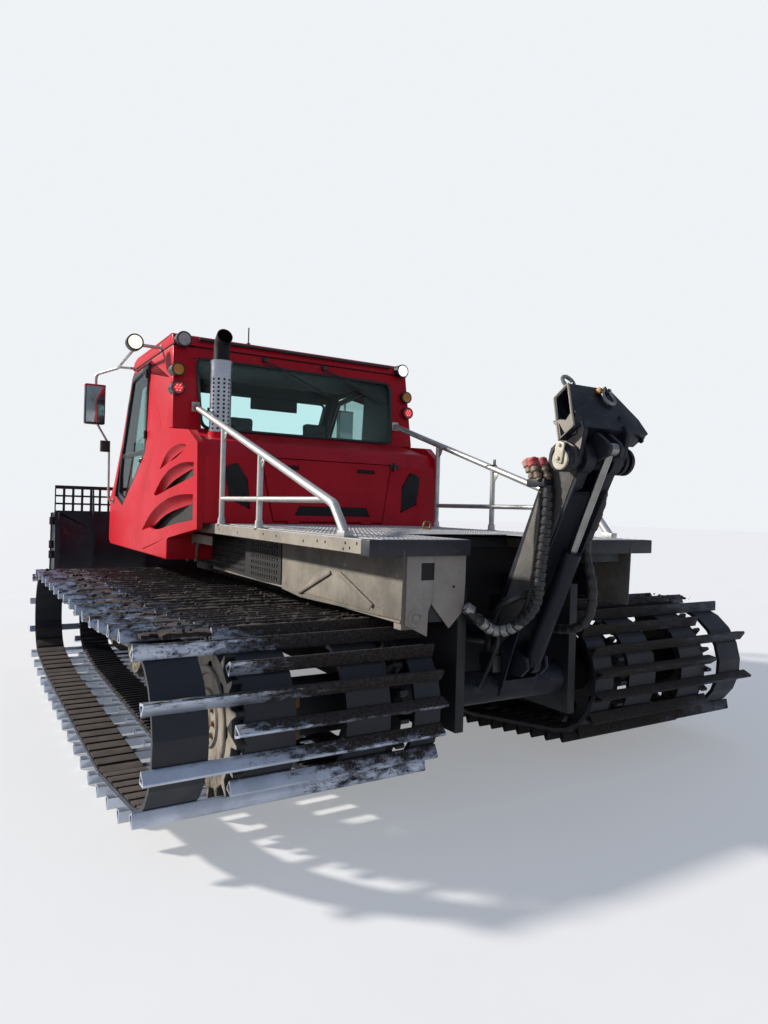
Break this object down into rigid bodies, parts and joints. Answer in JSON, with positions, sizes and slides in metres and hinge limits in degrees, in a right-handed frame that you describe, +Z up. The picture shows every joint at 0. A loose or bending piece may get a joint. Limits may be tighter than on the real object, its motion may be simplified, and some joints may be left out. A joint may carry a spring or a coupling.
{
  "type": "tracked snow groomer",
  "caption": "Wide-track snow groomer with a closed cab, a flat rear deck with rails, a front blade with folding wings and a raised rear carrier with a coupler head.",
  "frame": {"origin": "on the ground at the middle of the whole machine", "axes": "+X to the machine's left, -Y to its front, +Z up"},
  "size_m": [4.2, 7.31, 3.23],
  "materials": {
    "body_red": "glossy red paint, dusty low down",
    "chassis_beige": "grey-beige paint under dust",
    "deck_metal": "worn grating",
    "tube_silver": "galvanised tube",
    "cast_dark": "plain casting",
    "rusty_steel": "rusty, muddy casting",
    "sprocket_cream": "cream paint with mud",
    "wheel_steel": "dark paint with mud",
    "tyre_rubber": "rubber with mud",
    "belt_rubber": "rubber with mud",
    "bar_aluminium": "worn bare aluminium with mud",
    "window_glass": "clear, faintly green",
    "cab_trim": "dark trim",
    "seat_fabric": "dark cloth",
    "door_black": "black frame",
    "pipe_steel": "heat-tinted steel, sooty mouth",
    "guard_chrome": "bright perforated sheet",
    "lamp_mixed": "lamps with lenses",
    "mirror_black": "black housings and tubes",
    "blade_black": "black paint, dusty",
    "cylinder_black": "black cylinder barrels",
    "rod_chrome": "polished rods",
    "carrier_black": "black paint, dusty edges",
    "hose_rubber": "hose bundles",
    "coupling_red": "red caps on steel couplings",
    "shackle_steel": "forged, weathered"
  },
  "bodies": {
    "chassis": {"hull": "chassis_beige", "deck": "deck_metal", "deck_supports": "chassis_beige", "deck_rails": "tube_silver", "engine_block": "cast_dark", "final_drives": "rusty_steel", "sprockets": "sprocket_cream", "wheels": "wheel_steel", "tyres": "tyre_rubber", "belts_left": "belt_rubber", "belts_right": "belt_rubber", "bars_left": "bar_aluminium", "bars_right": "bar_aluminium", "cab_body": "body_red", "roof": "body_red", "glass_fixed": "window_glass", "cab_interior": "cab_trim", "seats": "seat_fabric", "hood": "body_red", "side_intakes": "body_red", "exhaust_pipe": "pipe_steel", "exhaust_guard": "guard_chrome", "lamps": "lamp_mixed", "mirrors": "mirror_black", "wipers": "mirror_black"},
    "door_left": {"door_left": "door_black", "door_glass_left": "window_glass"},
    "door_right": {"door_right": "door_black", "door_glass_right": "window_glass"},
    "hood_flap": {"hood_flap": "body_red"},
    "blade_frame": {"blade_frame": "blade_black"},
    "blade_swivel": {"blade_swivel": "blade_black"},
    "blade": {"blade": "blade_black"},
    "wing_left": {"wing_left": "blade_black"},
    "wing_right": {"wing_right": "blade_black"},
    "blade_lift_barrels": {"blade_lift_barrels": "cylinder_black"},
    "blade_lift_rods": {"blade_lift_rods": "rod_chrome"},
    "angle_barrel_left": {"angle_barrel_left": "cylinder_black"},
    "angle_rod_left": {"angle_rod_left": "rod_chrome"},
    "angle_barrel_right": {"angle_barrel_right": "cylinder_black"},
    "angle_rod_right": {"angle_rod_right": "rod_chrome"},
    "carrier_arm": {"carrier_arm": "carrier_black", "carrier_hoses": "hose_rubber", "hose_couplings": "coupling_red"},
    "coupler_head": {"coupler_head": "carrier_black", "shackles": "shackle_steel"},
    "tilt_barrel": {"tilt_barrel": "cylinder_black"},
    "tilt_rod": {"tilt_rod": "rod_chrome"},
    "lift_barrel": {"lift_barrel": "cylinder_black"},
    "lift_rod": {"lift_rod": "rod_chrome"}
  },
  "joints": [
    {"name": "door_left_swing", "type": "hinge", "parent": "chassis", "child": "door_left", "pos_m": [1.226, -0.94, 2.5], "axis": [0, 0, 1], "range_deg": [0, 75]},
    {"name": "door_right_swing", "type": "hinge", "parent": "chassis", "child": "door_right", "pos_m": [-1.226, -0.94, 2.5], "axis": [0, 0, -1], "range_deg": [0, 75]},
    {"name": "hood_flap_open", "type": "hinge", "parent": "chassis", "child": "hood_flap", "pos_m": [0, 0.585, 1.462], "axis": [-1, 0, 0], "range_deg": [0, 80]},
    {"name": "blade_lift", "type": "hinge", "parent": "chassis", "child": "blade_frame", "pos_m": [0, -1.84, 0.47], "axis": [1, 0, 0], "range_deg": [0, 15]},
    {"name": "blade_angle", "type": "hinge", "parent": "blade_frame", "child": "blade_swivel", "pos_m": [0, -2.73, 0.58], "axis": [0, 0, 1], "range_deg": [-20, 20]},
    {"name": "blade_tilt", "type": "hinge", "parent": "blade_swivel", "child": "blade", "pos_m": [0, -3.01, 0.58], "axis": [0, 1, 0], "range_deg": [-8, 8]},
    {"name": "wing_left_fold", "type": "hinge", "parent": "blade", "child": "wing_left", "pos_m": [1.76, -3.23, 0.9], "axis": [0, 0, 1], "range_deg": [0, 80]},
    {"name": "wing_right_fold", "type": "hinge", "parent": "blade", "child": "wing_right", "pos_m": [-1.76, -3.23, 0.9], "axis": [0, 0, -1], "range_deg": [0, 80]},
    {"name": "blade_lift_barrels_swing", "type": "hinge", "parent": "chassis", "child": "blade_lift_barrels", "pos_m": [0, -1.85, 0.98], "axis": [1, 0, 0], "range_deg": [-0.2, 11.5]},
    {"name": "blade_lift_rods_slide", "type": "slide", "parent": "blade_lift_barrels", "child": "blade_lift_rods", "axis": [0, -0.9507, -0.31], "range_m": [-0.002, 0.126]},
    {"name": "angle_barrel_left_swing", "type": "hinge", "parent": "blade_frame", "child": "angle_barrel_left", "pos_m": [0.42, -2.23, 0.7], "axis": [0, 0, 1], "range_deg": [-3.7, 3.7]},
    {"name": "angle_rod_left_slide", "type": "slide", "parent": "angle_barrel_left", "child": "angle_rod_left", "axis": [-0.1738, -0.9848, 0], "range_m": [-0.115, 0.115]},
    {"name": "angle_barrel_right_swing", "type": "hinge", "parent": "blade_frame", "child": "angle_barrel_right", "pos_m": [-0.42, -2.23, 0.7], "axis": [0, 0, 1], "range_deg": [-3.7, 3.7]},
    {"name": "angle_rod_right_slide", "type": "slide", "parent": "angle_barrel_right", "child": "angle_rod_right", "axis": [0.1738, -0.9848, 0], "range_m": [-0.115, 0.115]},
    {"name": "carrier_lift", "type": "hinge", "parent": "chassis", "child": "carrier_arm", "pos_m": [0, 2.89, 0.6], "axis": [-1, 0, 0], "range_deg": [0, 60]},
    {"name": "coupler_tilt", "type": "hinge", "parent": "carrier_arm", "child": "coupler_head", "pos_m": [0, 3.5, 1.88], "axis": [-1, 0, 0], "range_deg": [0, 85]},
    {"name": "tilt_barrel_swing", "type": "hinge", "parent": "carrier_arm", "child": "tilt_barrel", "pos_m": [0, 3.095, 0.76], "axis": [-1, 0, 0], "range_deg": [-0.2, 0.7]},
    {"name": "tilt_rod_slide", "type": "slide", "parent": "tilt_barrel", "child": "tilt_rod", "axis": [0, 0.4076, 0.9132], "range_m": [-0.169, 0.002]},
    {"name": "lift_barrel_swing", "type": "hinge", "parent": "chassis", "child": "lift_barrel", "pos_m": [0, 2.34, 0.82], "axis": [-1, 0, 0], "range_deg": [-0.2, 7]},
    {"name": "lift_rod_slide", "type": "slide", "parent": "lift_barrel", "child": "lift_rod", "axis": [0, 0.9961, 0.0886], "range_m": [-0.002, 0.267]}
  ],
  "couplings": [
    {"joint": "blade_lift_barrels_swing", "follows": "blade_lift", "ratio": 0.75191},
    {"joint": "blade_lift_rods_slide", "follows": "blade_lift", "m_per_rad": 0.46991},
    {"joint": "angle_barrel_left_swing", "follows": "blade_angle", "ratio": 0.17029},
    {"joint": "angle_rod_left_slide", "follows": "blade_angle", "m_per_rad": -0.32297},
    {"joint": "angle_barrel_right_swing", "follows": "blade_angle", "ratio": 0.17029},
    {"joint": "angle_rod_right_slide", "follows": "blade_angle", "m_per_rad": 0.32297},
    {"joint": "tilt_barrel_swing", "follows": "coupler_tilt", "ratio": 0.00517},
    {"joint": "tilt_rod_slide", "follows": "coupler_tilt", "m_per_rad": -0.11231},
    {"joint": "lift_barrel_swing", "follows": "carrier_lift", "ratio": 0.1125},
    {"joint": "lift_rod_slide", "follows": "carrier_lift", "m_per_rad": 0.25243}
  ]
}
